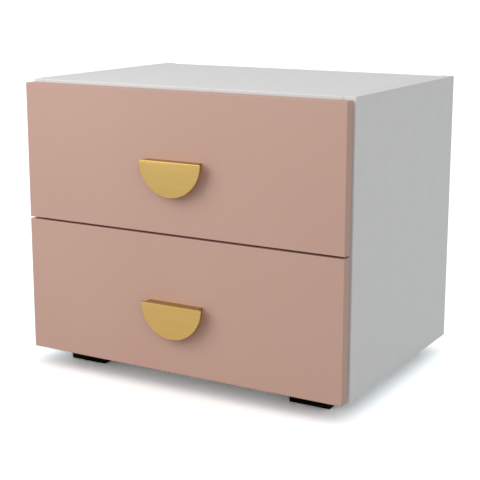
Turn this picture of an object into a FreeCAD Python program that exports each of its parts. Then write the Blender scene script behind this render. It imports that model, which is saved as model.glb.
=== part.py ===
import FreeCAD, Part
import os

import Sketcher

# Two-drawer nightstand, millimetres. X runs to the right, Y to the back and Z up. The origin
# is on the floor, under the middle of the box that holds the whole piece, handles included.

# Driving sizes
SIZES = {
    # Carcass of melamine-faced chipboard
    "carcass_width": 500,
    "carcass_depth": 340,
    "carcass_height": 392,
    "board": 18,
    # Hardboard back, slid into a groove in each side panel
    "back_thickness": 3,
    "back_lip": 6,
    "back_groove": 6,
    "back_end_gap": 2,
    "groove_play": 0.2,
    "groove_end_play": 0.5,
    # Moulded feet
    "foot_height": 22,
    "foot_size": 60,
    "foot_side_inset": 38,
    "foot_front_inset": 20,
    "foot_rear_inset": 20,
    "foot_corner_radius": 2,
    "foot_recess_radius": 5.5,
    "foot_recess_depth": 12,
    "foot_screw_spacing": 32,
    "foot_screw_bite": 12,
    # Drawer fronts
    "front_thickness": 16,
    "front_reveal": 2,
    "front_top_reveal": 4,
    "front_parting": 3,
    "front_gap": 4,
    "front_edge_radius": 0.8,
    # Half-moon handles
    "handle_radius": 48,
    "handle_base_radius": 42,
    "handle_reach": 15,
    "handle_plate": 3,
    "handle_chamfer": 0.7,
    "handle_rise": 4.5,
    "handle_screw_spacing": 64,
    "handle_screw_drop": 10,
    "handle_screw_bite": 8,
    # Drawer boxes
    "drawer_board": 12,
    "drawer_rise": 30,
    "drawer_top_room": 31.5,
    "drawer_bottom": 3,
    "drawer_bottom_rise": 10,
    "drawer_groove": 6,
    # Steel runners, with a roller at the front of the carcass and one at the back of the drawer
    "runner_space": 12.5,
    "runner_setback": 2,
    "runner_rear_room": 29,
    "runner_overlap": 70,
    "runner_steel": 1.2,
    "runner_flange": 9,
    "runner_foot_flange": 11,
    "runner_rail_setback": 2.5,
    "runner_clearance": 0.3,
    "runner_lip_clearance": 0.5,
    "runner_lip_opening": 60,
    "stop_height": 3,
    "roller_radius": 10,
    "roller_width": 7.5,
    "roller_play": 0.2,
    "roller_end_place": 14,
    "roller_side_play": 0.3,
    "axle_radius": 2,
    "axle_head_radius": 4,
    "axle_head_height": 0.7,
    # Cam locks, their bolts and the dowels beside them
    "cam_radius": 7.5,
    "cam_depth": 12.5,
    "drawer_cam_depth": 9.5,
    "cam_inset": 34,
    "cam_edge_place": 96,
    "bolt_radius": 3,
    "bolt_neck_radius": 1.8,
    "bolt_neck_length": 4.5,
    "bolt_bite": 11,
    "dowel_edge_place": 37,
    "dowel_radius": 4,
    "drawer_dowel_radius": 3,
    "dowel_long_end": 20,
    "dowel_short_end": 10,
    "drawer_cam_level": 42,
    "drawer_dowel_drop": 30,
    # Screws
    "screw_radius": 2,
    "screw_head_radius": 4,
    "screw_head_height": 2.4,
    "back_screw_length": 40,
    "back_screw_low": 40,
    "back_screw_drop": 30,
    # Room round a fastener where it grips, where it only passes, and beyond its tip
    "bore_play": 0.05,
    "hole_play": 0.3,
    "end_room": 1,
}

# Worked-out sizes and places. Those of the carcass are measured from the middle of its lower
# front edge, and those of a drawer from the middle of its box's lower edge, in the plane of
# the back of its front.
PLAN = {
    "overall_depth": "Size.handle_reach + Size.front_thickness + Size.front_gap + Size.carcass_depth",
    "carcass_front": "Plan.overall_depth / 2 - Size.carcass_depth",
    "front_back": "Plan.carcass_front - Size.front_gap",
    "half_width": "Size.carcass_width / 2",
    "inner_half": "Plan.half_width - Size.board",
    "panel_depth": "Size.carcass_depth - Size.back_lip - Size.back_thickness",
    "top_level": "Size.carcass_height - Size.board",
    "board_middle": "Size.board / 2",
    "back_half": "Plan.inner_half + Size.back_groove - Size.groove_end_play",
    "back_rear": "Plan.panel_depth + Size.back_thickness",
    "foot_outer": "Plan.half_width - Size.foot_side_inset",
    "foot_middle": "Plan.foot_outer - Size.foot_size / 2",
    "foot_rear_front": "Size.carcass_depth - Size.foot_rear_inset - Size.foot_size",
    "foot_screw_level": "Size.foot_recess_depth - Size.foot_height",
    "front_half": "Plan.half_width - Size.front_reveal",
    "front_height": "(Size.carcass_height - Size.front_top_reveal - Size.front_reveal"
                    " - Size.front_parting) / 2",
    "front_top": "Plan.front_height - Size.drawer_rise",
    "lower_level": "Size.foot_height + Size.front_reveal + Size.drawer_rise",
    "upper_level": "Plan.lower_level + Plan.front_height + Size.front_parting",
    "handle_level": "Plan.front_top - Plan.front_height / 2 + Size.handle_rise",
    "handle_lip_depth": "Size.handle_reach - Size.handle_plate",
    "runner_length": "Plan.panel_depth - Size.runner_setback - Size.runner_rear_room",
    "drawer_length": "Plan.runner_length",
    "drawer_height": "Plan.front_top - Size.drawer_top_room",
    "drawer_travel": "Plan.runner_length - Size.runner_overlap",
    "drawer_dowel_level": "Plan.drawer_height - Size.drawer_dowel_drop",
    "back_screw_high": "Plan.drawer_height - Size.back_screw_drop",
    "box_half": "Plan.inner_half - Size.runner_space",
    "box_inner_half": "Plan.box_half - Size.drawer_board",
    "box_side_middle": "Plan.box_half - Size.drawer_board / 2",
    "box_bottom_half": "Plan.box_inner_half + Size.drawer_groove - Size.groove_end_play",
    "box_bottom_top": "Size.drawer_bottom_rise + Size.drawer_bottom",
    "box_back_front": "Plan.drawer_length - Size.drawer_board",
    "box_back_middle": "Plan.drawer_length - Size.drawer_board / 2",
    "runner_front": "Size.front_gap + Size.runner_setback",
    "runner_rear": "Plan.runner_front + Plan.runner_length",
    "rail_level": "2 * Size.roller_radius + Size.roller_play + Size.runner_clearance",
    "rail_top": "Plan.rail_level + Size.runner_steel",
    "lip_level": "Plan.rail_top + Size.runner_lip_clearance",
    "cabinet_roller_place": "Plan.runner_front + Size.roller_end_place",
    "cabinet_roller_level": "Plan.rail_level - Size.roller_play - Size.roller_radius",
    "drawer_roller_place": "Plan.runner_rear - Size.runner_steel - Size.runner_clearance"
                           " - Size.roller_radius",
    "drawer_roller_level": "Size.roller_radius + Size.roller_play",
    "stop_reach": "sqrt(Size.roller_radius^2 - (Plan.drawer_roller_level - Size.stop_height)^2)",
    "stop_rear": "Plan.drawer_roller_place - Plan.drawer_travel - Plan.stop_reach"
                 " - Size.runner_clearance",
    "roller_start": "Size.runner_steel + Size.roller_side_play",
    "roller_end": "Plan.roller_start + Size.roller_width",
    "axle_head_start": "Plan.roller_end + Size.roller_side_play",
    "cam_place": "Plan.inner_half - Size.cam_inset",
    "cam_rear": "Plan.panel_depth - Size.cam_edge_place",
    "dowel_rear": "Plan.panel_depth - Size.dowel_edge_place",
}

# The frames that pieces are drawn in, each given by the place of its origin
CARCASS = ("0", "Plan.carcass_front", "Size.foot_height")
DRAWERS = {
    "upper": ("0", "Plan.front_back", "Plan.upper_level"),
    "lower": ("0", "Plan.front_back", "Plan.lower_level"),
}

# Turns that point a copied piece's own Z axis another way
UPWARDS = FreeCAD.Rotation()
TO_THE_LEFT = FreeCAD.Rotation(FreeCAD.Vector(0, 1, 0), -90)
TO_THE_RIGHT = FreeCAD.Rotation(FreeCAD.Vector(0, 1, 0), 90)
TO_THE_FRONT = FreeCAD.Rotation(FreeCAD.Vector(1, 0, 0), 90)
TO_THE_BACK = FreeCAD.Rotation(FreeCAD.Vector(1, 0, 0), -90)

# A carcass cam's mouth faces the left end of its panel, and a drawer cam's mouth the front
CARCASS_CAM_TURN = FreeCAD.Rotation(FreeCAD.Vector(0, 0, 1), 180)
DRAWER_CAM_TURN = FreeCAD.Rotation(
    FreeCAD.Vector(0, -1, 0), FreeCAD.Vector(0, 0, 1), FreeCAD.Vector(-1, 0, 0)
)

# Fasteners and their holes are drawn with flat sides, so that so many of them stay light
ROD_SIDES = 6
CAM_SIDES = 12

doc = FreeCAD.newDocument("Nightstand")
nodes = []


# Spreadsheet

def fill_sheet():
    """Write the driving sizes into the spreadsheet and bind the worked-out ones to them."""
    sheet = doc.addObject("Spreadsheet::Sheet", "Size")
    for row, (name, value) in enumerate(SIZES.items(), start=1):
        sheet.set(f"A{row}", name)
        sheet.set(f"B{row}", str(value))
        sheet.setAlias(f"B{row}", name)
    doc.recompute()
    plan = doc.addObject("App::VarSet", "Plan")
    for name in PLAN:
        plan.addProperty("App::PropertyFloat", name, "Plan")
    for name, expression in PLAN.items():
        plan.setExpression(name, expression)
    doc.recompute()
    return plan


plan = fill_sheet()


def worth(expression):
    """Give the number that an expression on the sizes comes to."""
    return float(plan.evalExpression(expression))


def place(piece, frame, spot=("0", "0", "0"), turn=UPWARDS):
    """Put a piece's own origin at a spot of a frame."""
    piece.Placement = FreeCAD.Placement(FreeCAD.Vector(), turn)
    for letter, start, step in zip("xyz", frame, spot):
        piece.setExpression(f"Placement.Base.{letter}", f"{start} + {step}")


# Sketched bodies

def new_body(label):
    """Start a body."""
    body = doc.addObject("PartDesign::Body", label)
    body.Label = label
    return body


def origin_plane(body, role):
    """Find one of the body's own three planes."""
    return next(item for item in body.Origin.OriginFeatures if item.Role == role)


def sketch_on(body, role, offset="0"):
    """Start a sketch on one of the body's own planes, moved along the plane's normal."""
    sketch = body.newObject("Sketcher::SketchObject", "Sketch")
    sketch.AttachmentSupport = [(origin_plane(body, role), "")]
    sketch.MapMode = "FlatFace"
    sketch.setExpression("AttachmentOffset.Base.z", offset)
    return sketch


def pin(sketch, element, point, across, up):
    """Hold a point of the sketch at two distances from the sketch's origin."""
    for kind, expression in (("DistanceX", across), ("DistanceY", up)):
        distance = Sketcher.Constraint(kind, -1, 1, element, point, worth(expression))
        number = sketch.addConstraint(distance)
        sketch.setExpression(f"Constraints[{number}]", expression)


def size_round(sketch, element, radius):
    """Hold the radius of a circle or an arc."""
    number = sketch.addConstraint(Sketcher.Constraint("Radius", element, worth(radius)))
    sketch.setExpression(f"Constraints[{number}]", radius)


def outline(sketch, corners):
    """Draw a closed outline of straight lines through the corners."""
    points = [FreeCAD.Vector(worth(across), worth(up), 0) for across, up in corners]
    for start, end in zip(points, points[1:] + points[:1]):
        sketch.addGeometry(Part.LineSegment(start, end), False)
    for index, (across, up) in enumerate(corners):
        following = (index + 1) % len(corners)
        sketch.addConstraint(Sketcher.Constraint("Coincident", index, 2, following, 1))
        pin(sketch, index, 1, across, up)


def rectangle(sketch, left, right, low, high):
    """Draw an upright rectangle."""
    outline(sketch, [(left, low), (right, low), (right, high), (left, high)])


def circle(sketch, across, up, radius):
    """Draw a circle."""
    centre = FreeCAD.Vector(worth(across), worth(up), 0)
    ring = sketch.addGeometry(Part.Circle(centre, FreeCAD.Vector(0, 0, 1), worth(radius)), False)
    pin(sketch, ring, 3, across, up)
    size_round(sketch, ring, radius)


def half_moon(sketch, level, radius):
    """Draw the lower half of a disc, with its straight side at a level."""
    left = FreeCAD.Vector(-worth(radius), worth(level), 0)
    right = FreeCAD.Vector(worth(radius), worth(level), 0)
    bottom = FreeCAD.Vector(0, worth(level) - worth(radius), 0)
    arc = sketch.addGeometry(Part.Arc(left, bottom, right), False)
    line = sketch.addGeometry(Part.LineSegment(right, left), False)
    sketch.addConstraint(Sketcher.Constraint("Coincident", arc, 2, line, 1))
    sketch.addConstraint(Sketcher.Constraint("Coincident", line, 2, arc, 1))
    sketch.addConstraint(Sketcher.Constraint("PointOnObject", arc, 3, line))
    sketch.addConstraint(Sketcher.Constraint("Horizontal", line))
    pin(sketch, arc, 3, "0", level)
    size_round(sketch, arc, radius)


def add_feature(body, kind, sketch, length, backwards):
    """Add a pad or a pocket."""
    feature = body.newObject(f"PartDesign::{kind}", kind)
    feature.Profile = sketch
    feature.Reversed = backwards
    feature.setExpression("Length", length)
    return feature


def pad(body, sketch, length, backwards=False):
    """Raise a sketch along its normal, or backwards against it."""
    return add_feature(body, "Pad", sketch, length, backwards)


def pocket(body, sketch, length, backwards=False):
    """Cut a sketch in against its normal, or backwards along it."""
    return add_feature(body, "Pocket", sketch, length, backwards)


def soften(body, kind, base, radius, wanted):
    """Round or chamfer the wanted edges of a feature."""
    doc.recompute()
    edges = [f"Edge{number}" for number, edge in enumerate(base.Shape.Edges, start=1) if wanted(edge)]
    feature = body.newObject(f"PartDesign::{kind}", kind)
    feature.Base = (base, edges)
    feature.setExpression("Radius" if kind == "Fillet" else "Size", radius)


# Rods, drills and copies

def rod(label, radius, start, end, sides=ROD_SIDES):
    """A flat-sided rod along its own Z axis, from start to end."""
    prism = doc.addObject("Part::Prism", label)
    prism.Polygon = sides
    prism.setExpression("Circumradius", radius)
    prism.setExpression("Height", f"{end} - ({start})")
    prism.setExpression("Placement.Base.z", start)
    return prism


def fuse(label, pieces):
    """Make one solid of several."""
    fused = doc.addObject("Part::MultiFuse", label)
    fused.Label = label
    fused.Shapes = pieces
    return fused


def stepped_rod(label, steps):
    """Make one solid of rods end to end, each given by its radius, start and end."""
    return fuse(label, [rod(f"{label}_step", *step) for step in steps])


def mirror(label, source):
    """Make the right-hand twin of a left-hand piece."""
    twin = doc.addObject("Part::Mirroring", label)
    twin.Label = label
    twin.Source = source
    twin.Base = (0, 0, 0)
    twin.Normal = (1, 0, 0)
    return twin


def join(label, pieces):
    """Keep like pieces together as separate solids of one group."""
    group = doc.addObject("Part::Compound", label)
    group.Label = label
    group.Links = pieces
    return group


def copies(source, turn, frame, spots):
    """Place copies of a pattern piece at spots of a frame, all turned the same way."""
    placed = []
    for spot in spots:
        link = doc.addObject("App::Link", f"{source.Label}_copy")
        link.LinkedObject = source
        place(link, frame, spot, turn)
        placed.append(link)
    return placed


def on_both_sides(label, pieces):
    """Join pieces on the left with their twins on the right."""
    left = join(f"{label}_on_the_left", pieces)
    return join(label, [left, mirror(f"{label}_on_the_right", left)])


def drilled(label, blank, drills):
    """Make a piece of the nightstand by drilling a blank."""
    cut = doc.addObject("Part::Cut", label)
    cut.Label = label
    cut.Base = blank
    cut.Tool = drills
    nodes.append(cut)
    return cut


class Fastener:
    """A fastener, the drill that makes room for it and the places where both go."""

    def __init__(self, label, solid, drill, turn, spots):
        self.label = label
        self.solid = solid
        self.drill = drill
        self.turn = turn
        self.spots = spots

    def solids_in(self, frame):
        return copies(self.solid, self.turn, frame, self.spots)

    def drills_in(self, frame):
        return copies(self.drill, self.turn, frame, self.spots)


def write_fasteners(prefix, fasteners, frame):
    """Make each kind of fastener a piece of the nightstand, on the left and on the right."""
    for fastener in fasteners:
        nodes.append(on_both_sides(f"{prefix}{fastener.label}", fastener.solids_in(frame)))


def headed(label, radius, length, head_radius, head_height):
    """A screw along Z. Its origin is where the head meets the shank."""
    return stepped_rod(label, [(head_radius, f"-{head_height}", "0"), (radius, "0", length)])


# Cam locks, cam bolts and dowels

def cam_lock(label, depth, axis):
    """A disc with a mouth for the bolt's head. The driver's face is at its own origin."""
    disc = rod(f"{label}_disc", "Size.cam_radius - Size.bore_play", "0", depth, CAM_SIDES)
    half_mouth = "(Size.bolt_radius + Size.hole_play)"
    mouth = doc.addObject("Part::Box", f"{label}_mouth")
    mouth.setExpression("Length", f"{half_mouth} + Size.cam_radius")
    mouth.setExpression("Width", f"2 * {half_mouth}")
    mouth.setExpression("Height", f"{depth} - {axis} + {half_mouth}")
    mouth.setExpression("Placement.Base.x", f"-{half_mouth}")
    mouth.setExpression("Placement.Base.y", f"-{half_mouth}")
    mouth.setExpression("Placement.Base.z", f"{axis} - {half_mouth}")
    lock = doc.addObject("Part::Cut", label)
    lock.Label = label
    lock.Base = disc
    lock.Tool = mouth
    return lock


def cam_drill(label, depth):
    """The blind hole of a cam."""
    return rod(label, "Size.cam_radius", "0", depth, CAM_SIDES)


def make_cam_bolt():
    """A bolt screwed into a face, with a neck and a head that the cam grips."""
    neck_start = "Size.cam_inset - Size.bolt_radius - Size.bolt_neck_length"
    neck_end = "Size.cam_inset - Size.bolt_radius"
    bolt = stepped_rod("cam_bolt", [
        ("Size.bolt_radius", "-Size.bolt_bite", neck_start),
        ("Size.bolt_neck_radius", neck_start, neck_end),
        ("Size.bolt_radius", neck_end, "Size.cam_inset + Size.bolt_radius"),
    ])
    drill = stepped_rod("cam_bolt_drill", [
        ("Size.bolt_radius + Size.bore_play", "-Size.bolt_bite - Size.end_room", "0"),
        ("Size.bolt_radius + Size.hole_play", "0", "Size.cam_inset"),
    ])
    return bolt, drill


def make_dowel(label, radius):
    """A beech dowel. Its origin is where the two boards meet."""
    peg = rod(label, radius, "-Size.dowel_short_end", "Size.dowel_long_end")
    drill = rod(f"{label}_drill", f"{radius} + Size.bore_play",
                "-Size.dowel_short_end - Size.end_room", "Size.dowel_long_end + Size.end_room")
    return peg, drill


# Fasteners of the carcass

def foot_screw_spots():
    """Where the screws of the left feet are."""
    return [
        ("-Plan.foot_middle", f"{foot} + Size.foot_size / 2 {sign} Size.foot_screw_spacing / 2",
         "Plan.foot_screw_level")
        for foot in ("Size.foot_front_inset", "Plan.foot_rear_front") for sign in "-+"
    ]


def carcass_fasteners(bolt, bolt_drill):
    """List what joins the carcass's boards, feet and back, on its left half."""
    levels = ("0", "Plan.top_level")
    cam_spots = [("-Plan.cam_place", spot, level)
                 for level in levels for spot in ("Size.cam_edge_place", "Plan.cam_rear")]
    bolt_spots = [("-Plan.inner_half", spot, f"{level} + Plan.board_middle")
                  for level in levels for spot in ("Size.cam_edge_place", "Plan.cam_rear")]
    dowel_spots = [("-Plan.inner_half", spot, f"{level} + Plan.board_middle")
                   for level in levels for spot in ("Size.dowel_edge_place", "Plan.dowel_rear")]
    dowel, dowel_drill = make_dowel("carcass_dowel", "Size.dowel_radius")
    foot_length = "Size.foot_height - Size.foot_recess_depth"
    foot_screw = headed("foot_screw", "Size.screw_radius", f"{foot_length} + Size.foot_screw_bite",
                        "Size.screw_head_radius", "Size.screw_head_height")
    foot_drill = stepped_rod("foot_screw_drill", [
        ("Size.foot_recess_radius", "-Size.foot_recess_depth", "0"),
        ("Size.screw_radius + Size.hole_play", "0", foot_length),
        ("Size.screw_radius + Size.bore_play", foot_length,
         f"{foot_length} + Size.foot_screw_bite + Size.end_room"),
    ])
    return [
        Fastener("carcass_cams", cam_lock("carcass_cam", "Size.cam_depth", "Plan.board_middle"),
                 cam_drill("carcass_cam_drill", "Size.cam_depth"), CARCASS_CAM_TURN, cam_spots),
        Fastener("carcass_cam_bolts", bolt, bolt_drill, TO_THE_RIGHT, bolt_spots),
        Fastener("carcass_dowels", dowel, dowel_drill, TO_THE_RIGHT, dowel_spots),
        Fastener("foot_screws", foot_screw, foot_drill, UPWARDS, foot_screw_spots()),
    ]


# Side panels, with a groove for the back

def make_side_panels(drills):
    blank = new_body("side_panel_blank")
    face = sketch_on(blank, "YZ_Plane", "-Plan.half_width")
    rectangle(face, "0", "Size.carcass_depth", "0", "Size.carcass_height")
    pad(blank, face, "Size.board")
    groove = sketch_on(blank, "YZ_Plane", "-Plan.inner_half")
    rectangle(groove, "Plan.panel_depth - Size.groove_play", "Plan.back_rear + Size.groove_play",
              "0", "Size.carcass_height")
    pocket(blank, groove, "Size.back_groove")
    place(blank, CARCASS)
    panel = drilled("side_panel_left", blank, drills)
    nodes.append(mirror("side_panel_right", panel))


# Top and bottom panels, between the sides

def make_level_panel(label, level, drills):
    blank = new_body(f"{label}_blank")
    face = sketch_on(blank, "XY_Plane", level)
    rectangle(face, "-Plan.inner_half", "Plan.inner_half", "0", "Plan.panel_depth")
    pad(blank, face, "Size.board")
    place(blank, CARCASS)
    drilled(label, blank, drills)


# Back panel, a thin sheet against the back edges of the top and bottom panels

def make_back_panel():
    body = new_body("back_panel")
    face = sketch_on(body, "XZ_Plane", "-Plan.panel_depth")
    rectangle(face, "-Plan.back_half", "Plan.back_half",
              "Size.back_end_gap", "Size.carcass_height - Size.back_end_gap")
    pad(body, face, "Size.back_thickness", backwards=True)
    place(body, CARCASS)
    nodes.append(body)


# Feet, moulded blocks screwed up into the bottom panel from deep recesses

def make_foot(where, front, drills):
    blank = new_body(f"foot_{where}_blank")
    face = sketch_on(blank, "XY_Plane", "-Size.foot_height")
    rectangle(face, "-Plan.foot_outer", "-Plan.foot_outer + Size.foot_size",
              front, f"{front} + Size.foot_size")
    block = pad(blank, face, "Size.foot_height")
    soften(blank, "Fillet", block, "Size.foot_corner_radius", lambda edge: edge.BoundBox.ZLength > 1)
    place(blank, CARCASS)
    foot = drilled(f"foot_{where}_left", blank, drills)
    nodes.append(mirror(f"foot_{where}_right", foot))


# Drawer fronts, which overlap the carcass and have softened edges

def make_front(name, drills):
    blank = new_body(f"{name}_front_blank")
    face = sketch_on(blank, "XZ_Plane")
    rectangle(face, "-Plan.front_half", "Plan.front_half", "-Size.drawer_rise", "Plan.front_top")
    slab = pad(blank, face, "Size.front_thickness")
    face_place = -worth("Size.front_thickness")
    soften(blank, "Fillet", slab, "Size.front_edge_radius",
           lambda edge: abs(edge.BoundBox.YMax - face_place) < 0.01)
    groove = sketch_on(blank, "XZ_Plane")
    rectangle(groove, "-Plan.box_bottom_half - Size.groove_end_play",
              "Plan.box_bottom_half + Size.groove_end_play",
              "Size.drawer_bottom_rise", "Plan.box_bottom_top + Size.groove_play")
    pocket(blank, groove, "Size.drawer_groove", backwards=True)
    place(blank, DRAWERS[name])
    drilled(f"{name}_front", blank, drills)


# Half-moon handles: a plate on a smaller base, cast in one, which leaves a lip for fingers

def make_handle(name, drills):
    blank = new_body(f"{name}_handle_blank")
    base = sketch_on(blank, "XZ_Plane", "Size.front_thickness")
    half_moon(base, "Plan.handle_level", "Size.handle_base_radius")
    pad(blank, base, "Plan.handle_lip_depth")
    plate = sketch_on(blank, "XZ_Plane", "Size.front_thickness + Plan.handle_lip_depth")
    half_moon(plate, "Plan.handle_level", "Size.handle_radius")
    face = pad(blank, plate, "Size.handle_plate")
    face_place = -worth("Size.front_thickness + Size.handle_reach")
    soften(blank, "Chamfer", face, "Size.handle_chamfer",
           lambda edge: abs(edge.BoundBox.YMax - face_place) < 0.01)
    place(blank, DRAWERS[name])
    drilled(f"{name}_handle", blank, drills)


# Drawer boxes

def make_box_sides(name, drills):
    """The box's sides, grooved for the bottom."""
    blank = new_body(f"{name}_drawer_side_blank")
    face = sketch_on(blank, "YZ_Plane", "-Plan.box_half")
    rectangle(face, "0", "Plan.drawer_length", "0", "Plan.drawer_height")
    pad(blank, face, "Size.drawer_board")
    groove = sketch_on(blank, "YZ_Plane", "-Plan.box_inner_half")
    rectangle(groove, "0", "Plan.drawer_length",
              "Size.drawer_bottom_rise", "Plan.box_bottom_top + Size.groove_play")
    pocket(blank, groove, "Size.drawer_groove")
    place(blank, DRAWERS[name])
    side = drilled(f"{name}_drawer_side_left", blank, drills)
    nodes.append(mirror(f"{name}_drawer_side_right", side))


def make_box_back(name, drills):
    """The box's back, between the sides and standing on the bottom."""
    blank = new_body(f"{name}_drawer_back_blank")
    face = sketch_on(blank, "XZ_Plane", "-Plan.box_back_front")
    rectangle(face, "-Plan.box_inner_half", "Plan.box_inner_half",
              "Plan.box_bottom_top", "Plan.drawer_height")
    pad(blank, face, "Size.drawer_board", backwards=True)
    place(blank, DRAWERS[name])
    drilled(f"{name}_drawer_back", blank, drills)


def make_box_bottom(name):
    """A hardboard bottom, held in grooves of the front and the sides."""
    body = new_body(f"{name}_drawer_bottom")
    face = sketch_on(body, "XY_Plane", "Size.drawer_bottom_rise")
    rectangle(face, "-Plan.box_bottom_half", "Plan.box_bottom_half",
              "Size.groove_end_play - Size.drawer_groove", "Plan.drawer_length")
    pad(body, face, "Size.drawer_bottom")
    place(body, DRAWERS[name])
    nodes.append(body)


def drawer_fasteners(bolt, bolt_drill):
    """List what joins a drawer's boards and handle, on its left half."""
    dowel, dowel_drill = make_dowel("drawer_dowel", "Size.drawer_dowel_radius")
    handle_screw = headed("handle_screw", "Size.screw_radius",
                          "Size.front_thickness + Size.handle_screw_bite",
                          "Size.screw_head_radius", "Size.screw_head_height")
    handle_drill = stepped_rod("handle_screw_drill", [
        ("Size.screw_radius + Size.hole_play", "0", "Size.front_thickness"),
        ("Size.screw_radius + Size.bore_play", "Size.front_thickness",
         "Size.front_thickness + Size.handle_screw_bite + Size.end_room"),
    ])
    back_screw = headed("back_screw", "Size.screw_radius", "Size.back_screw_length",
                        "Size.screw_head_radius", "Size.screw_head_height")
    back_drill = stepped_rod("back_screw_drill", [
        ("Size.screw_radius + Size.hole_play", "0", "Size.drawer_board"),
        ("Size.screw_radius + Size.bore_play", "Size.drawer_board",
         "Size.back_screw_length + Size.end_room"),
    ])
    return [
        Fastener("drawer_cams", cam_lock("drawer_cam", "Size.drawer_cam_depth", "Size.drawer_board / 2"),
                 cam_drill("drawer_cam_drill", "Size.drawer_cam_depth"), DRAWER_CAM_TURN,
                 [("-Plan.box_inner_half", "Size.cam_inset", "Size.drawer_cam_level")]),
        Fastener("drawer_cam_bolts", bolt, bolt_drill, TO_THE_BACK,
                 [("-Plan.box_side_middle", "0", "Size.drawer_cam_level")]),
        Fastener("drawer_dowels", dowel, dowel_drill, TO_THE_BACK,
                 [("-Plan.box_side_middle", "0", "Plan.drawer_dowel_level")]),
        Fastener("handle_screws", handle_screw, handle_drill, TO_THE_FRONT,
                 [("-Size.handle_screw_spacing / 2", "0", "Plan.handle_level - Size.handle_screw_drop")]),
        Fastener("drawer_back_screws", back_screw, back_drill, TO_THE_RIGHT,
                 [("-Plan.box_half", "Plan.box_back_middle", level)
                  for level in ("Size.back_screw_low", "Plan.back_screw_high")]),
    ]


# Runners

def make_cabinet_runner(name, drills):
    """A channel on the carcass's side, with a stop bent up at each end of the roller's way."""
    blank = new_body(f"{name}_cabinet_runner_blank")
    wall = "-Plan.inner_half"
    web = f"{wall} + Size.runner_steel"
    rim = f"{wall} + Size.runner_flange"
    reach = "Size.runner_flange - Size.runner_steel"
    lip_top = "Plan.lip_level + Size.runner_steel"
    profile = sketch_on(blank, "XZ_Plane", "-Plan.runner_front")
    outline(profile, [
        (wall, "-Size.runner_steel"), (rim, "-Size.runner_steel"), (rim, "0"), (web, "0"),
        (web, "Plan.lip_level"), (rim, "Plan.lip_level"), (rim, lip_top), (wall, lip_top),
    ])
    pad(blank, profile, "Plan.runner_length", backwards=True)
    opening = sketch_on(blank, "YZ_Plane", rim)
    rectangle(opening, "Plan.runner_front", "Plan.runner_front + Size.runner_lip_opening",
              "Plan.lip_level", lip_top)
    pocket(blank, opening, reach)
    front_stop = sketch_on(blank, "YZ_Plane", web)
    rectangle(front_stop, "Plan.stop_rear - Size.runner_steel", "Plan.stop_rear", "0", "Size.stop_height")
    pad(blank, front_stop, reach)
    rear_stop = sketch_on(blank, "YZ_Plane", web)
    rectangle(rear_stop, "Plan.runner_rear - Size.runner_steel", "Plan.runner_rear", "0", "Plan.lip_level")
    pad(blank, rear_stop, reach)
    place(blank, DRAWERS[name])
    runner = drilled(f"{name}_cabinet_runner_left", blank, drills)
    nodes.append(mirror(f"{name}_cabinet_runner_right", runner))


def make_drawer_runner(name, drills):
    """An angle under the box's side, whose outer flange is the rail that the rollers carry."""
    blank = new_body(f"{name}_drawer_runner_blank")
    side = "-Plan.box_half"
    web = f"{side} - Size.runner_steel"
    toe = f"{side} + Size.runner_foot_flange"
    edge = "Size.runner_rail_setback - Plan.inner_half"
    profile = sketch_on(blank, "XZ_Plane")
    outline(profile, [
        (web, "-Size.runner_steel"), (toe, "-Size.runner_steel"), (toe, "0"), (side, "0"),
        (side, "Plan.rail_top"), (edge, "Plan.rail_top"), (edge, "Plan.rail_level"),
        (web, "Plan.rail_level"),
    ])
    pad(blank, profile, "Plan.drawer_length", backwards=True)
    place(blank, DRAWERS[name])
    runner = drilled(f"{name}_drawer_runner_left", blank, drills)
    nodes.append(mirror(f"{name}_drawer_runner_right", runner))


def make_axle():
    """A riveted axle with a round shank. Its origin is on the far face of the steel."""
    shank = doc.addObject("Part::Cylinder", "roller_axle_shank")
    shank.setExpression("Radius", "Size.axle_radius")
    shank.setExpression("Height", "Plan.axle_head_start - Size.runner_steel")
    shank.setExpression("Placement.Base.z", "Size.runner_steel")
    axle = fuse("roller_axle", [
        rod("roller_axle_root", "Size.axle_radius", "0", "Size.runner_steel"),
        shank,
        rod("roller_axle_head", "Size.axle_head_radius", "Plan.axle_head_start",
            "Plan.axle_head_start + Size.axle_head_height"),
    ])
    return axle, rod("roller_axle_drill", "Size.axle_radius + Size.bore_play", "0", "Size.runner_steel")


def roller_axles():
    """List the axle of the left cabinet roller and that of the left drawer roller."""
    axle, axle_drill = make_axle()
    return {
        "cabinet": Fastener(
            "cabinet_roller_axles", axle, axle_drill, TO_THE_RIGHT,
            [("-Plan.inner_half", "Plan.cabinet_roller_place", "Plan.cabinet_roller_level")]),
        "drawer": Fastener(
            "drawer_roller_axles", axle, axle_drill, TO_THE_LEFT,
            [("-Plan.box_half", "Plan.drawer_roller_place", "Plan.drawer_roller_level")]),
    }


def make_rollers(kind, name, axle):
    """Nylon rollers, each turning on its riveted axle."""
    roller = new_body(f"{name}_{kind}_roller_left")
    rim = sketch_on(roller, "XY_Plane", "Plan.roller_start")
    circle(rim, "0", "0", "Size.roller_radius")
    pad(roller, rim, "Size.roller_width")
    bore = sketch_on(roller, "XY_Plane", "Plan.roller_end")
    circle(bore, "0", "0", "Size.axle_radius + Size.bore_play")
    pocket(roller, bore, "Size.roller_width")
    place(roller, DRAWERS[name], axle.spots[0], axle.turn)
    nodes.append(roller)
    nodes.append(mirror(f"{name}_{kind}_roller_right", roller))


# Assembly

cam_bolt, cam_bolt_drill = make_cam_bolt()
axles = roller_axles()
carcass_joints = carcass_fasteners(cam_bolt, cam_bolt_drill)
drawer_joints = drawer_fasteners(cam_bolt, cam_bolt_drill) + [axles["drawer"]]

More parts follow.
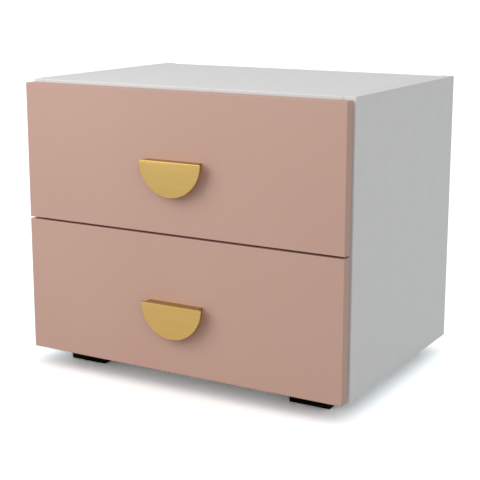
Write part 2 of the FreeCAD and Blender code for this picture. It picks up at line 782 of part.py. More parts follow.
carcass_drills = [drill for joint in carcass_joints for drill in joint.drills_in(CARCASS)]
for drawer_frame in DRAWERS.values():
    carcass_drills.extend(axles["cabinet"].drills_in(drawer_frame))
carcass_tools = on_both_sides("carcass_drills", carcass_drills)
make_side_panels(carcass_tools)
make_level_panel("top_panel", "Plan.top_level", carcass_tools)
make_level_panel("bottom_panel", "0", carcass_tools)
make_back_panel()
make_foot("front", "Size.foot_front_inset", carcass_tools)
make_foot("rear", "Plan.foot_rear_front", carcass_tools)
write_fasteners("", carcass_joints, CARCASS)

for drawer, drawer_frame in DRAWERS.items():
    make_cabinet_runner(drawer, carcass_tools)
    write_fasteners(f"{drawer}_", [axles["cabinet"]], drawer_frame)
    drawer_drills = [drill for joint in drawer_joints for drill in joint.drills_in(drawer_frame)]
    drawer_tools = on_both_sides(f"{drawer}_drawer_drills", drawer_drills)
    make_front(drawer, drawer_tools)
    make_handle(drawer, drawer_tools)
    make_box_sides(drawer, drawer_tools)
    make_box_back(drawer, drawer_tools)
    make_box_bottom(drawer)
    make_drawer_runner(drawer, drawer_tools)
    write_fasteners(f"{drawer}_", drawer_joints, drawer_frame)
    for kind, axle in axles.items():
        make_rollers(kind, drawer, axle)

doc.recompute()
for item in doc.Objects:
    if "Invalid" in item.State or "Error" in item.State:
        raise RuntimeError(f"{item.Label} did not recompute: {item.State}")
for node in nodes:
    if node.Shape.isNull() or not node.Shape.isValid():
        raise RuntimeError(f"{node.Label} has no valid shape")

os.makedirs("parts", exist_ok=True)
for node in nodes:
    node.Shape.exportStep(f"parts/{node.Label}.step")
print(f"{len(nodes)} pieces written")
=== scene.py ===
import math

import bmesh
import bpy
from mathutils import Matrix, Vector


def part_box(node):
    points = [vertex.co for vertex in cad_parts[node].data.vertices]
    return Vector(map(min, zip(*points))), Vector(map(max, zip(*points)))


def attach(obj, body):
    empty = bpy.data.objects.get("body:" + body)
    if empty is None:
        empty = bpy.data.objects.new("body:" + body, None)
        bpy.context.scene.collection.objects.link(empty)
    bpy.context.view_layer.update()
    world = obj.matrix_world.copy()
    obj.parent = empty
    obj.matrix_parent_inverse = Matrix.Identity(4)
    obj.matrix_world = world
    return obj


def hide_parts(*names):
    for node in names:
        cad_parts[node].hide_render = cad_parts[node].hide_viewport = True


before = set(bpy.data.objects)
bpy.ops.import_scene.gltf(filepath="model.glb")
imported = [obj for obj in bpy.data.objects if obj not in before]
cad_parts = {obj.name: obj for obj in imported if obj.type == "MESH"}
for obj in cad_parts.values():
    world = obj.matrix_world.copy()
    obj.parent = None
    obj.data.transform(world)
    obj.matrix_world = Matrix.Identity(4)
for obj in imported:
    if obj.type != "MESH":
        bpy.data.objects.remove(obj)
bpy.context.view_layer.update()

# Side panels, top panel and bottom panel: 18 mm chipboard faced with white melamine.
# The edges are banded in the same white and eased by a millimetre, so a fine groove shows where
# two boards meet.
BOARD_EDGE = 0.001
MELAMINE_WHITE = "#E4E4E3"
MELAMINE_SHADE = "#E2E2E1"
PAPER_MOTTLE = 0.025
PEARL_GRAIN = 0.0011
PEARL_DEPTH = 0.00003
MERGE_REACH = 0.000001  # points nearer than this count as one
FACE_REACH = 0.00001  # a point nearer than this lies on a face
LARGEST_ROUND_FACE = 0.00003  # in square metres, and larger faces stay flat


def linear(code):
    """Turn an sRGB hex colour into a linear one."""
    channels = [int(code[place:place + 2], 16) / 255 for place in (1, 3, 5)]
    return [c / 12.92 if c <= 0.04045 else ((c + 0.055) / 1.055) ** 2.4 for c in channels] + [1]


def add_node(material, kind, settings=None, **inputs):
    """Add a node with its settings. Each input is a value or another node's output."""
    node = material.node_tree.nodes.new(kind)
    for name, value in (settings or {}).items():
        setattr(node, name, value)
    for name, value in inputs.items():
        socket = node.inputs[name.replace("_", " ")]
        if isinstance(value, bpy.types.NodeSocket):
            material.node_tree.links.new(value, socket)
        else:
            socket.default_value = value
    return node


def new_finish(name, **surface):
    """Start a material and set its shader's sockets."""
    material = bpy.data.materials.new(name)
    material.use_nodes = True
    shader = material.node_tree.nodes["Principled BSDF"]
    for socket, value in surface.items():
        shader.inputs[socket.replace("_", " ")].default_value = value
    return material, shader


def tint(material, shader, factor, stops):
    """Colour a surface by a pattern, through a ramp of hex colours."""
    ramp = add_node(material, "ShaderNodeValToRGB", Fac=factor)
    elements = ramp.color_ramp.elements
    while len(elements) < len(stops):
        elements.new(0.5)
    for element, (place, colour) in zip(elements, stops):
        element.position = place
        element.color = linear(colour)
    material.node_tree.links.new(ramp.outputs["Color"], shader.inputs["Base Color"])


def relief(material, shader, height, depth):
    """Raise a pattern from a surface, by a depth in metres."""
    bump = add_node(material, "ShaderNodeBump", Strength=1, Distance=depth, Height=height)
    material.node_tree.links.new(bump.outputs["Normal"], shader.inputs["Normal"])


def melamine():
    """Melamine paper pressed with a fine pearl texture: satin, with soft small highlights.

    The real texture is about 0.4 mm from crest to crest, drawn at 1.1 mm so that it shows.
    """
    material, shader = new_finish("white_melamine", Roughness=0.42, IOR=1.5)
    place = add_node(material, "ShaderNodeTexCoord").outputs["Object"]
    mottle = add_node(material, "ShaderNodeTexNoise", Vector=place, Scale=1 / PAPER_MOTTLE,
                      Detail=2)
    tint(material, shader, mottle.outputs["Fac"], [(0.35, MELAMINE_SHADE), (0.65, MELAMINE_WHITE)])
    pearl = add_node(material, "ShaderNodeTexNoise", Vector=place, Scale=1 / PEARL_GRAIN, Detail=1)
    relief(material, shader, pearl.outputs["Fac"], PEARL_DEPTH)
    return material


def eased_board(node, body, material, edge):
    """Copy a board with the edges of its outer box eased, and let the copy stand for it."""
    low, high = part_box(node)
    shape = bmesh.new()
    shape.from_mesh(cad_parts[node].data)
    bmesh.ops.remove_doubles(shape, verts=shape.verts, dist=MERGE_REACH)

    def on_the_box(rim):
        """Tell whether an edge lies where two faces of the outer box meet."""
        shared = 0
        for axis in range(3):
            for face in (low[axis], high[axis]):
                shared += all(abs(corner.co[axis] - face) < FACE_REACH for corner in rim.verts)
        return shared >= 2

    rims = [rim for rim in shape.edges if on_the_box(rim)]
    bmesh.ops.bevel(shape, geom=rims, affect="EDGES", offset=edge, segments=2,
                    profile=0.5, material=-1, clamp_overlap=False)
    piece = finished(f"{node}_board", shape, material)
    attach(piece, body)
    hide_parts(node)


def finished(name, shape, material, smooth_angle=None):
    """Make an object of a bmesh. With an angle, its small faces are smooth up to that angle."""
    bmesh.ops.recalc_face_normals(shape, faces=shape.faces)
    mesh = bpy.data.meshes.new(name)
    shape.to_mesh(mesh)
    shape.free()
    mesh.materials.clear()
    mesh.materials.append(material)
    if smooth_angle is not None:
        rounded = [face.area < LARGEST_ROUND_FACE for face in mesh.polygons]
        mesh.polygons.foreach_set("use_smooth", rounded)
        mesh.set_sharp_from_angle(angle=math.radians(smooth_angle))
    piece = bpy.data.objects.new(name, mesh)
    bpy.context.scene.collection.objects.link(piece)
    return piece


white_melamine = melamine()
for board in ("side_panel_left", "side_panel_right", "top_panel", "bottom_panel"):
    eased_board(board, "carcass", white_melamine, BOARD_EDGE)


# Back panel: 3 mm hardboard painted white on its outside, nailed along its top and bottom edges.
# The paint is thin, so the fibres of the board show through as a faint mottle.
HARDBOARD_WHITE = "#DDDCD8"
HARDBOARD_SHADE = "#D2D0CA"
FIBRE_LENGTH = 0.0024
FIBRE_DEPTH = 0.00004
ZINC_SHADE = "#A4A8AC"
ZINC_BRIGHT = "#C2C5C8"
ZINC_CLOUD = 0.004
FINE_REACH = 0.0000001  # as MERGE_REACH, for shapes turned or cut here
ROUND_ANGLE = 35
NAIL_HEAD = (0.0022, 0.0006)  # radius, height
NAIL_PLACES = (-0.180, -0.060, 0.060, 0.180)
NAIL_LEVELS = (0.031, 0.405)


def painted_hardboard():
    """Wood fibre pressed into a sheet under thin white paint: dull, with short fibres."""
    material, shader = new_finish("painted_hardboard", Roughness=0.55)
    place = add_node(material, "ShaderNodeTexCoord").outputs["Object"]
    fibres = add_node(material, "ShaderNodeTexNoise", Vector=place,
                      Scale=1 / FIBRE_LENGTH, Detail=4, Distortion=0.6)
    tint(material, shader, fibres.outputs["Fac"],
         [(0.38, HARDBOARD_SHADE), (0.62, HARDBOARD_WHITE)])
    relief(material, shader, fibres.outputs["Fac"], FIBRE_DEPTH)
    return material


def dress(nodes, material):
    """Give CAD nodes that keep their shape a material of their own."""
    for node in nodes:
        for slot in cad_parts[node].material_slots:
            slot.material = material


def zinc():
    """Bright zinc on steel: a bluish grey metal with a faint cloudy sheen."""
    material, shader = new_finish("bright_zinc", Metallic=1.0)
    place = add_node(material, "ShaderNodeTexCoord").outputs["Object"]
    clouds = add_node(material, "ShaderNodeTexNoise", Vector=place, Scale=1 / ZINC_CLOUD,
                      Detail=3)
    tint(material, shader, clouds.outputs["Fac"], [(0.3, ZINC_SHADE), (0.7, ZINC_BRIGHT)])
    gloss = add_node(material, "ShaderNodeMapRange", Value=clouds.outputs["Fac"],
                     To_Min=0.28, To_Max=0.42)
    material.node_tree.links.new(gloss.outputs["Result"], shader.inputs["Roughness"])
    return material


def turned(profile, steps=32):
    """Turn a profile of radius and height about Z into a closed shape."""
    shape = bmesh.new()
    points = [shape.verts.new((radius, 0, height)) for radius, height in profile]
    lines = [shape.edges.new(pair) for pair in zip(points, points[1:])]
    bmesh.ops.spin(shape, geom=points + lines, axis=(0, 0, 1), cent=(0, 0, 0), dvec=(0, 0, 0),
                   angle=math.tau, steps=steps, use_merge=True)
    bmesh.ops.remove_doubles(shape, verts=shape.verts, dist=FINE_REACH)
    return shape


def group(name, pattern, spots, body, nodes=()):
    """Make one zinc piece of a pattern, copied to each spot, and let it stand for nodes."""
    mesh = bpy.data.meshes.new(f"{name}_pattern")
    pattern.to_mesh(mesh)
    pattern.free()
    shape = bmesh.new()
    for spot in spots:
        first = len(shape.verts)
        shape.from_mesh(mesh)
        shape.verts.ensure_lookup_table()
        bmesh.ops.transform(shape, matrix=spot, verts=shape.verts[first:])
    bpy.data.meshes.remove(mesh)
    piece = finished(name, shape, bright_zinc, ROUND_ANGLE)
    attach(piece, body)
    if nodes:
        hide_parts(*nodes)


def facing(direction, place):
    """Point a pattern's Z axis in a direction, with its origin at a place."""
    turn = Vector((0, 0, 1)).rotation_difference(Vector(direction)).to_matrix().to_4x4()
    return Matrix.Translation(place) @ turn


bright_zinc = zinc()
hardboard = painted_hardboard()
dress(["back_panel"], hardboard)
back_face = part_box("back_panel")[1].y
nail_radius, nail_height = NAIL_HEAD
nail = turned([(0, nail_height), (nail_radius * 0.8, nail_height * 0.9),
               (nail_radius, nail_height * 0.4), (nail_radius, 0), (0, 0)], steps=20)
group("back_panel_nail_heads", nail,
      [facing((0, 1, 0), (x, back_face, z)) for x in NAIL_PLACES for z in NAIL_LEVELS],
      "carcass")


# Feet: square blocks moulded in black plastic, with rounded upright edges, and two deep
# recesses in the underside for the screws that hold them to the bottom panel.
FOOT_EDGE = 0.0009
FOOT_CORNER = 0.0021  # how far the rounded upright edges reach in
LEVEL_ANGLE = math.radians(1)
SQUARE_ANGLE = math.radians(60)
FOOT_BLACK = "#0A0A0A"
SPARK_GRAIN = 0.0006
SPARK_DEPTH = 0.00005


def moulded_plastic():
    """Black polypropylene from a spark-eroded mould: matt, with a fine even grain.

    The real grain is about 0.1 mm, drawn at 0.6 mm so that it shows.
    """
    material, shader = new_finish("black_polypropylene", Base_Color=linear(FOOT_BLACK),
                                  Roughness=0.7, Specular_IOR_Level=0.04)
    place = add_node(material, "ShaderNodeTexCoord").outputs["Object"]
    grain = add_node(material, "ShaderNodeTexNoise", Vector=place, Scale=1 / SPARK_GRAIN,
                     Detail=1)
    relief(material, shader, grain.outputs["Fac"], SPARK_DEPTH)
    return material


black_plastic = moulded_plastic()
for foot in ("foot_front_left", "foot_front_right", "foot_rear_left", "foot_rear_right"):
    low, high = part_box(foot)
    shape = bmesh.new()
    shape.from_mesh(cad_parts[foot].data)
    bmesh.ops.remove_doubles(shape, verts=shape.verts, dist=MERGE_REACH)
    bmesh.ops.dissolve_limit(shape, angle_limit=LEVEL_ANGLE, verts=shape.verts,
                             edges=shape.edges)
    # The underside's outer rim is eased, and the rims of its recesses stay sharp.
    underside = [edge for edge in shape.edges
                 if all(abs(corner.co.z - low.z) < FACE_REACH for corner in edge.verts)
                 and edge.calc_face_angle(0) > SQUARE_ANGLE
                 and any(min(abs(corner.co.x - low.x), abs(corner.co.x - high.x),
                             abs(corner.co.y - low.y), abs(corner.co.y - high.y)) < FOOT_CORNER
                         for corner in edge.verts)]
    bmesh.ops.bevel(shape, geom=underside, affect="EDGES", offset=FOOT_EDGE, segments=2,
                    profile=0.5, material=-1, clamp_overlap=False)
    block = finished(f"{foot}_block", shape, black_plastic, smooth_angle=40)
    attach(block, "carcass")
    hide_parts(foot)


# Screws: zinc-plated, with low round heads and a cross recess for the driver. They hold the
# feet, the drawer backs, the handles from inside the drawers, and the runners.
SCREW_HEAD = (0.004, 0.0024)  # radius, height
SCREW_SHANK = 0.002
CROSS_REACH = 1.15  # of the head's radius
CROSS_WIDTH = 0.26  # of the cross's own length
CROSS_DEPTH = 0.55  # of the head's height
FOOT_SCREW_LENGTH = 0.020
FOOT_SCREW_X = (-0.182, 0.182)
FOOT_SCREW_Y = (-0.1185, -0.0865, 0.1215, 0.1535)


def crossed(shape, span, top, depth):
    """Cut a cross recess for a driver into the top of a turned shape."""
    blank = finished("turned_blank", shape, bright_zinc)
    cutter = bmesh.new()
    for along, across in ((span, span * CROSS_WIDTH), (span * CROSS_WIDTH, span)):
        size = Matrix.Diagonal((along, across, depth * 2, 1))
        bmesh.ops.create_cube(cutter, size=1, matrix=Matrix.Translation((0, 0, top)) @ size)
    recess = finished("cross_recess", cutter, bright_zinc)
    cut = blank.modifiers.new("recess", "BOOLEAN")
    cut.operation = "DIFFERENCE"
    cut.solver = "EXACT"
    cut.use_self = True
    cut.object = recess
    bpy.context.view_layer.update()
    crossed_shape = bmesh.new()
    crossed_shape.from_object(blank, bpy.context.evaluated_depsgraph_get())
    bmesh.ops.remove_doubles(crossed_shape, verts=crossed_shape.verts, dist=FINE_REACH)
    for used in (blank, recess):
        mesh = used.data
        bpy.data.objects.remove(used)
        bpy.data.meshes.remove(mesh)
    return crossed_shape


def cross_headed(radius, height, shank, length):
    """Shape a screw with its head up, the underside of the head at the origin."""
    profile = [(0, height), (radius * 0.5, height * 0.96), (radius * 0.85, height * 0.68),
               (radius, height * 0.3), (radius, 0), (shank, 0), (shank, -length),
               (0, -length - shank)]
    return crossed(turned(profile, steps=28), radius * CROSS_REACH, height,
                   height * CROSS_DEPTH)


foot_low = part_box("foot_screws")[0]
group("foot_screws_turned", cross_headed(*SCREW_HEAD, SCREW_SHANK, FOOT_SCREW_LENGTH),
      [facing((0, 0, -1), (x, y, foot_low.z + SCREW_HEAD[1]))
       for x in FOOT_SCREW_X for y in FOOT_SCREW_Y],
      "carcass", ["foot_screws"])


# Cam locks and their bolts: die-cast zinc discs let into the underside of the panels and into
# the inside of the drawer sides, turned with a screwdriver. Beech dowels lie beside them, inside.
CAM_RADIUS = 0.0072
CAM_RIM = 0.0004
CAM_CROSS = (0.0075, 0.002)  # length, depth
CAM_DEPTH = 0.0125
DRAWER_CAM_DEPTH = 0.0095
CAM_SIDE_PLACE = 0.198
CAM_PLACES = (-0.0565, 0.0825)
BEECH_FLECK = "#B98E5E"
BEECH_BROWN = "#CBA679"
FLECK_LENGTH = 0.0014


def beech():
    """Turned beech: pale brown, with short darker flecks along the peg."""
    material, shader = new_finish("beech", Roughness=0.6)
    place = add_node(material, "ShaderNodeTexCoord").outputs["Object"]
    flecks = add_node(material, "ShaderNodeTexNoise", Vector=place, Scale=1 / FLECK_LENGTH,
                      Detail=2)
    tint(material, shader, flecks.outputs["Fac"], [(0.4, BEECH_FLECK), (0.6, BEECH_BROWN)])
    return material


def cam_disc(depth):
    """Shape a cam with its driver's face up at the origin."""
    profile = [(0, 0), (CAM_RADIUS - CAM_RIM, 0), (CAM_RADIUS, -CAM_RIM), (CAM_RADIUS, -depth),
               (0, -depth)]
    return crossed(turned(profile, steps=40), CAM_CROSS[0], 0, CAM_CROSS[1])


beech_wood = beech()
dress(["carcass_dowels", "upper_drawer_dowels", "lower_drawer_dowels"], beech_wood)
dress(["carcass_cam_bolts", "upper_drawer_cam_bolts", "lower_drawer_cam_bolts"], bright_zinc)
low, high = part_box("carcass_cams")
group("carcass_cams_turned", cam_disc(CAM_DEPTH),
      [facing((0, 0, -1), (x, y, z)) for x in (-CAM_SIDE_PLACE, CAM_SIDE_PLACE)
       for y in CAM_PLACES for z in (low.z, high.z - CAM_DEPTH)],
      "carcass", ["carcass_cams"])
for drawer in ("upper", "lower"):
    low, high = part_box(f"{drawer}_drawer_cams")
    middle = (low + high) / 2
    group(f"{drawer}_drawer_cams_turned", cam_disc(DRAWER_CAM_DEPTH),
          [facing((-way, 0, 0), (way * (high.x - DRAWER_CAM_DEPTH), middle.y, middle.z))
           for way in (-1, 1)],
          f"{drawer}_drawer", [f"{drawer}_drawer_cams"])


# Drawer fronts: 16 mm fibreboard sprayed with dusty pink lacquer on the face and the edges.
# The lacquer is satin, with the faint orange peel that spraying leaves.
LACQUER_PINK = "#C8A495"
LACQUER_SHADE = "#C6A192"
LACQUER_CLOUD = 0.2
ORANGE_PEEL = 0.0016
ORANGE_PEEL_DEPTH = 0.00002


def lacquer():
    """Sprayed polyurethane lacquer: an even satin colour under a soft ripple."""
    material, shader = new_finish("dusty_pink_lacquer", Roughness=0.5,
                                  Specular_IOR_Level=0.35)
    place = add_node(material, "ShaderNodeTexCoord").outputs["Object"]
    cloud = add_node(material, "ShaderNodeTexNoise", Vector=place, Scale=1 / LACQUER_CLOUD,
                     Detail=2)
    tint(material, shader, cloud.outputs["Fac"], [(0.3, LACQUER_SHADE), (0.7, LACQUER_PINK)])
    peel = add_node(material, "ShaderNodeTexNoise", Vector=place, Scale=1 / ORANGE_PEEL, Detail=1)
    relief(material, shader, peel.outputs["Fac"], ORANGE_PEEL_DEPTH)
    return material


pink_lacquer = lacquer()
dress(["upper_front", "lower_front"], pink_lacquer)


# Handles: a half-moon plate on a smaller half-moon base, cast in one piece of brass, brushed
# along its straight side, with eased rims. Fingers go under the plate's overhanging rim.
HANDLE_RADIUS = 0.048
HANDLE_BASE_RADIUS = 0.042
HANDLE_PLATE = 0.003
HANDLE_RIM = 0.0011
HANDLE_SCREW_LENGTH = 0.024
HANDLE_SCREW_X = (-0.032, 0.032)
BRASS = "#B6985C"
BRASS_SHADE = "#B09256"
BRUSH_LENGTH = 0.05
BRUSH_SPACING = 0.0006
BRUSH_DEPTH = 0.000003


def brass():
    """Brushed brass under clear lacquer: a warm satin metal with fine lines along X.

    The real lines are about 0.1 mm apart, drawn at 0.6 mm so that they show.
    """
    material, shader = new_finish("brushed_brass", Metallic=1.0)
    place = add_node(material, "ShaderNodeTexCoord").outputs["Object"]
    along = add_node(material, "ShaderNodeMapping", Vector=place,
                     Scale=(1 / BRUSH_LENGTH, 1 / BRUSH_SPACING, 1 / BRUSH_SPACING))
    lines = add_node(material, "ShaderNodeTexNoise", Vector=along.outputs["Vector"], Scale=1,
                     Detail=3)
    tint(material, shader, lines.outputs["Fac"], [(0.3, BRASS_SHADE), (0.7, BRASS)])
    gloss = add_node(material, "ShaderNodeMapRange", Value=lines.outputs["Fac"],
                     To_Min=0.38, To_Max=0.46)
    material.node_tree.links.new(gloss.outputs["Result"], shader.inputs["Roughness"])
    relief(material, shader, lines.outputs["Fac"], BRUSH_DEPTH)
    return material


def half_moon(shape, radius, level, front, back, rim):
    """Add the lower half of a disc between two depths, with its front rim eased."""
    before = set(shape.faces)
    bmesh.ops.create_circle(shape, cap_ends=True, segments=192, radius=radius,
                            matrix=Matrix.Rotation(math.pi / 2, 4, "X"))
    disc = [face for face in shape.faces if face not in before]
    edges = {edge for face in disc for edge in face.edges}
    corners = {corner for face in disc for corner in face.verts}
    kept = bmesh.ops.bisect_plane(shape, geom=disc + list(edges) + list(corners),
                                  dist=FINE_REACH, plane_co=(0, 0, 0), plane_no=(0, 0, 1),
                                  clear_outer=True)
    half = [part for part in kept["geom"] if isinstance(part, bmesh.types.BMFace)]
    corners = {corner for face in half for corner in face.verts}
    bmesh.ops.translate(shape, verts=list(corners), vec=(0, back, level))
    raised = bmesh.ops.extrude_face_region(shape, geom=half, use_keep_orig=True)["geom"]
    moved = [part for part in raised if isinstance(part, bmesh.types.BMVert)]
    bmesh.ops.translate(shape, verts=moved, vec=(0, front - back, 0))
    if rim:
        edges = [edge for edge in shape.edges
                 if all(abs(corner.co.y - front) < MERGE_REACH for corner in edge.verts)]
        bmesh.ops.bevel(shape, geom=edges, affect="EDGES", offset=rim, segments=3,
                        profile=0.5, material=-1)


brushed_brass = brass()
for drawer in ("upper", "lower"):
    low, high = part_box(f"{drawer}_handle")
    shape = bmesh.new()
    half_moon(shape, HANDLE_BASE_RADIUS, high.z, low.y + HANDLE_PLATE, high.y, 0)
    half_moon(shape, HANDLE_RADIUS, high.z, low.y, low.y + HANDLE_PLATE, HANDLE_RIM)
    handle = finished(f"{drawer}_half_moon", shape, brushed_brass, smooth_angle=30)
    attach(handle, f"{drawer}_drawer")
    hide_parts(f"{drawer}_handle")
    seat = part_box(f"{drawer}_front")[1].y
    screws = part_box(f"{drawer}_handle_screws")
    level = (screws[0].z + screws[1].z) / 2
    group(f"{drawer}_handle_screws_turned",
          cross_headed(*SCREW_HEAD, SCREW_SHANK, HANDLE_SCREW_LENGTH),
          [facing((0, 1, 0), (x, seat, level)) for x in HANDLE_SCREW_X],
          f"{drawer}_drawer", [f"{drawer}_handle_screws"])


# Drawer boxes: 12 mm fibreboard wrapped in white foil, with a bottom of 3 mm white hardboard in
# grooves. The back is screwed on through the sides.
FOIL_WHITE = "#E2E1DE"
FOIL_SHADE = "#E0DFDC"
FOIL_MOTTLE = 0.025
FOIL_GRAIN = 0.0008
FOIL_DEPTH = 0.00002
BOX_EDGE = 0.0006
BACK_SCREW_LENGTH = 0.036
BACK_SCREW_RISES = (0.040, 0.100)


def foil():
    """Fibreboard wrapped in printed white foil: smooth and satin."""
    material, shader = new_finish("white_foil", Roughness=0.4)
    place = add_node(material, "ShaderNodeTexCoord").outputs["Object"]
    mottle = add_node(material, "ShaderNodeTexNoise", Vector=place, Scale=1 / FOIL_MOTTLE,
                      Detail=2)
    tint(material, shader, mottle.outputs["Fac"], [(0.35, FOIL_SHADE), (0.65, FOIL_WHITE)])
    grain = add_node(material, "ShaderNodeTexNoise", Vector=place, Scale=1 / FOIL_GRAIN,
                     Detail=1)
    relief(material, shader, grain.outputs["Fac"], FOIL_DEPTH)
    return material


white_foil = foil()
for drawer in ("upper", "lower"):
    for board in ("drawer_side_left", "drawer_side_right", "drawer_back"):
        eased_board(f"{drawer}_{board}", f"{drawer}_drawer", white_foil, BOX_EDGE)
    dress([f"{drawer}_drawer_bottom"], hardboard)
    low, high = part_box(f"{drawer}_drawer_side_right")
    back_low, back_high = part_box(f"{drawer}_drawer_back")
    middle = (back_low.y + back_high.y) / 2
    group(f"{drawer}_drawer_back_screws_turned",
          cross_headed(*SCREW_HEAD, SCREW_SHANK, BACK_SCREW_LENGTH),
          [facing((way, 0, 0), (way * high.x, middle, low.z + rise))
           for way in (-1, 1) for rise in BACK_SCREW_RISES],
          f"{drawer}_drawer", [f"{drawer}_drawer_back_screws"])


# Runners: 1.2 mm steel, roll-formed and coated in white epoxy. The carcass's channel and the
# drawer's angle are each held by flat-headed screws that the rollers pass.
STEEL = 0.0012
STEEL_EDGE = 0.0003
ARRIS_ANGLE = math.radians(30)
EPOXY_WHITE = "#E0E0DC"
EPOXY_RIPPLE = 0.002
EPOXY_DEPTH = 0.00003
RUNNER_SCREW = (0.0037, 0.0008, 0.0017, 0.001)  # head's radius and height, shank's and length
CABINET_SCREW_PLACES = (0.050, 0.150, 0.250)
DRAWER_SCREW_PLACES = (0.050, 0.250)
DRAWER_SCREW_RISE = 0.005


def epoxy():
    """Epoxy powder coat on steel: white, semi-gloss, with a gentle ripple."""
    material, shader = new_finish("white_epoxy", Base_Color=linear(EPOXY_WHITE), Roughness=0.3,
                                  Coat_Weight=0.2)
    place = add_node(material, "ShaderNodeTexCoord").outputs["Object"]
    ripple = add_node(material, "ShaderNodeTexNoise", Vector=place, Scale=1 / EPOXY_RIPPLE,
                      Detail=1)
    relief(material, shader, ripple.outputs["Fac"], EPOXY_DEPTH)
    return material


def coated_runner(node, body):
    """Copy a runner with all its arrises rounded, as the coat leaves them."""
    shape = bmesh.new()
    shape.from_mesh(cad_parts[node].data)
    bmesh.ops.remove_doubles(shape, verts=shape.verts, dist=MERGE_REACH)
    arrises = [edge for edge in shape.edges if edge.calc_face_angle(0) > ARRIS_ANGLE]
    bmesh.ops.bevel(shape, geom=arrises, affect="EDGES", offset=STEEL_EDGE, segments=2,
                    profile=0.5, material=-1, clamp_overlap=True)
    runner = finished(f"{node}_coated", shape, white_epoxy, smooth_angle=50)
    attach(runner, body)
    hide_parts(node)


white_epoxy = epoxy()
for drawer in ("upper", "lower"):
    for side in ("left", "right"):
        coated_runner(f"{drawer}_cabinet_runner_{side}", "carcass")
        coated_runner(f"{drawer}_drawer_runner_{side}", f"{drawer}_drawer")
    low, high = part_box(f"{drawer}_cabinet_runner_right")
    roller_low, roller_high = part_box(f"{drawer}_cabinet_roller_right")
    level = (roller_low.z + roller_high.z) / 2
    group(f"{drawer}_cabinet_runner_screws", cross_headed(*RUNNER_SCREW),
          [facing((-way, 0, 0), (way * (high.x - STEEL), low.y + place, level))
           for way in (-1, 1) for place in CABINET_SCREW_PLACES],
          "carcass")
    side_low, side_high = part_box(f"{drawer}_drawer_side_right")
    group(f"{drawer}_drawer_runner_screws", cross_headed(*RUNNER_SCREW),
          [facing((way, 0, 0), (way * (side_high.x + STEEL), side_low.y + place,
                                side_low.z + DRAWER_SCREW_RISE))
           for way in (-1, 1) for place in DRAWER_SCREW_PLACES],
          f"{drawer}_drawer")


# Rollers: turned from white nylon, with rounded rims and a shallow ring in each face. They run
# on steel axles riveted to the runners, whose heads are domed.
ROLLER_RIM = 0.0008
RIM_SHARE = 0.3  # how far in the middle of the rounded rim lies, of the rim's own size
ROLLER_RING = (0.0045, 0.0080, 0.0007)  # inner radius, outer radius, depth
RING_SLOPE = 0.0003
AXLE_BORE = 0.00205
AXLE = (0.002, 0.004, 0.0007)  # shank's radius, head's radius and height
AXLE_PLAY = 0.0003
NYLON_WHITE = "#E6E3DA"
TOOL_MARK = 0.0011
TOOL_DEPTH = 0.00002


def nylon_66():
    """Natural nylon: a slightly translucent, waxy off-white."""
    material, shader = new_finish("natural_nylon", Base_Color=linear(NYLON_WHITE), Roughness=0.36,
                                  IOR=1.53, Subsurface_Weight=0.15, Subsurface_Scale=0.002)
    place = add_node(material, "ShaderNodeTexCoord").outputs["Object"]
    marks = add_node(material, "ShaderNodeTexNoise", Vector=place, Scale=1 / TOOL_MARK,
                     Detail=1)
    relief(material, shader, marks.outputs["Fac"], TOOL_DEPTH)
    return material


nylon = nylon_66()
for drawer in ("upper", "lower"):
    for kind, body in (("cabinet", "carcass"), ("drawer", f"{drawer}_drawer")):
        axle_spots = []
        for side, way in (("left", -1), ("right", 1)):
            node = f"{drawer}_{kind}_roller_{side}"
            low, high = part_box(node)
            centre = (low + high) / 2
            half_width = (high.x - low.x) / 2
            radius = (high.z - low.z) / 2
            ring_in, ring_out, ring_depth = ROLLER_RING
            half_section = [
                (AXLE_BORE, half_width), (ring_in, half_width),
                (ring_in + RING_SLOPE, half_width - ring_depth),
                (ring_out - RING_SLOPE, half_width - ring_depth), (ring_out, half_width),
                (radius - ROLLER_RIM, half_width),
                (radius - ROLLER_RIM * RIM_SHARE, half_width - ROLLER_RIM * RIM_SHARE),
                (radius, half_width - ROLLER_RIM),
            ]
            section = half_section + [(out, -along) for out, along in reversed(half_section)]
            shape = turned(section + section[:1], steps=64)
            bmesh.ops.transform(shape, matrix=facing((1, 0, 0), centre), verts=shape.verts)
            roller = finished(f"{node}_turned", shape, nylon, ROUND_ANGLE)
            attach(roller, node)
            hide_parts(node)
            outward = way if kind == "drawer" else -way
            axle_spots.append(facing((outward, 0, 0), centre))
        shank, head, head_height = AXLE
        reach = half_width + AXLE_PLAY
        axle = turned([(0, reach + head_height), (head * 0.55, reach + head_height * 0.92),
                       (head * 0.9, reach + head_height * 0.5), (head, reach),
                       (shank, reach), (shank, -reach - STEEL), (0, -reach - STEEL)], steps=40)
        group(f"{drawer}_{kind}_axles_turned", axle, axle_spots, body,
              [f"{drawer}_{kind}_roller_axles"])


# Studio: a white floor, a large soft key lamp at the left in front, weaker soft lamps at the
# right and behind, and an even surround. Floor and surround look white to the camera and in
# reflections. Only the surround lights the floor, and the cabinet leaves its soft shadow there.
FLOOR_WHITE = (2.77, 2.90, 2.96, 1)
FLOOR_BOUNCE = 0.85
SURROUND = 0.439
LAMPS = {  # power in watts, side of the square, place
    "key_softbox": (17.1, 1.4, (-0.9, -1.3, 1.1)),
    "fill_softbox": (9.0, 1.5, (1.2, -1.7, 1.2)),
    "rear_softbox": (8.0, 0.9, (-0.3, 2.0, 0.5)),
}
LAMP_AIM = (0, 0, 0.2)
CAMERA_PLACE = (0.83933, -1.45137, 0.56203)
CAMERA_YAW = 30.293
CAMERA_TILT = 12.136
FOCAL_LENGTH = 88.113
VIEW_SHIFT = (0.00996, -0.03317)


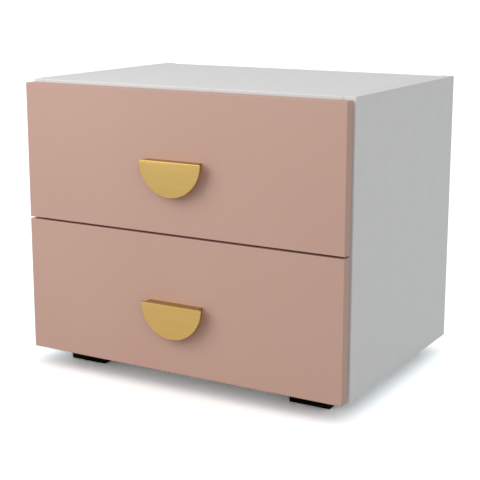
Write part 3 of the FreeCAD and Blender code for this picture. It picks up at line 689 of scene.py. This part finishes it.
def seen_rays(surface):
    """Give 1 for the rays that show a surface to the camera or in a reflection, and else 0."""
    rays = add_node(surface, "ShaderNodeLightPath").outputs
    seen = rays["Is Camera Ray"]
    for ray in ("Is Glossy Ray", "Is Transmission Ray"):
        either = add_node(surface, "ShaderNodeMath", {"operation": "MAXIMUM"})
        surface.node_tree.links.new(seen, either.inputs[0])
        surface.node_tree.links.new(rays[ray], either.inputs[1])
        seen = either.outputs["Value"]
    return seen


floor_shape = bmesh.new()
bmesh.ops.create_grid(floor_shape, x_segments=1, y_segments=1, size=30)
white_floor = bpy.data.materials.new("white_floor")
white_floor.use_nodes = True
white_floor.node_tree.nodes.clear()
shown = add_node(white_floor, "ShaderNodeBsdfDiffuse", Color=FLOOR_WHITE)
bounced = add_node(white_floor, "ShaderNodeBsdfDiffuse", Color=[FLOOR_BOUNCE] * 3 + [1])
mixed = add_node(white_floor, "ShaderNodeMixShader", Fac=seen_rays(white_floor))
white_floor.node_tree.links.new(bounced.outputs["BSDF"], mixed.inputs[1])
white_floor.node_tree.links.new(shown.outputs["BSDF"], mixed.inputs[2])
add_node(white_floor, "ShaderNodeOutputMaterial", Surface=mixed.outputs["Shader"])
floor = finished("studio_floor", floor_shape, white_floor)

world = bpy.data.worlds.new("surround")
bpy.context.scene.world = world
world.use_nodes = True
background = world.node_tree.nodes["Background"]
background.inputs["Color"].default_value = (1, 1, 1, 1)
strength = add_node(world, "ShaderNodeMapRange", Value=seen_rays(world), To_Min=SURROUND)
world.node_tree.links.new(strength.outputs["Result"], background.inputs["Strength"])

unlit = bpy.data.collections.new("floor_without_lamps")
unlit.objects.link(floor)
unlit.collection_objects[0].light_linking.link_state = "EXCLUDE"
for name, (power, size, place) in LAMPS.items():
    light = bpy.data.lights.new(name, "AREA")
    light.shape = "SQUARE"
    light.size = size
    light.energy = power
    lamp = bpy.data.objects.new(name, light)
    bpy.context.scene.collection.objects.link(lamp)
    lamp.location = place
    aim = Vector(LAMP_AIM) - Vector(place)
    lamp.rotation_euler = aim.to_track_quat("-Z", "Y").to_euler()
    lamp.light_linking.receiver_collection = unlit
    # The top would mirror the rear lamp towards the camera, so gloss leaves that lamp out.
    lamp.visible_glossy = name != "rear_softbox"

lens = bpy.data.cameras.new("camera")
lens.lens = FOCAL_LENGTH
lens.sensor_width = 36
lens.shift_x, lens.shift_y = VIEW_SHIFT
lens.clip_start = 0.05
camera = bpy.data.objects.new("camera", lens)
bpy.context.scene.collection.objects.link(camera)
camera.location = CAMERA_PLACE
camera.rotation_euler = (math.radians(90 - CAMERA_TILT), 0, math.radians(CAMERA_YAW))
bpy.context.scene.camera = camera
bpy.context.scene.view_settings.view_transform = "Standard"
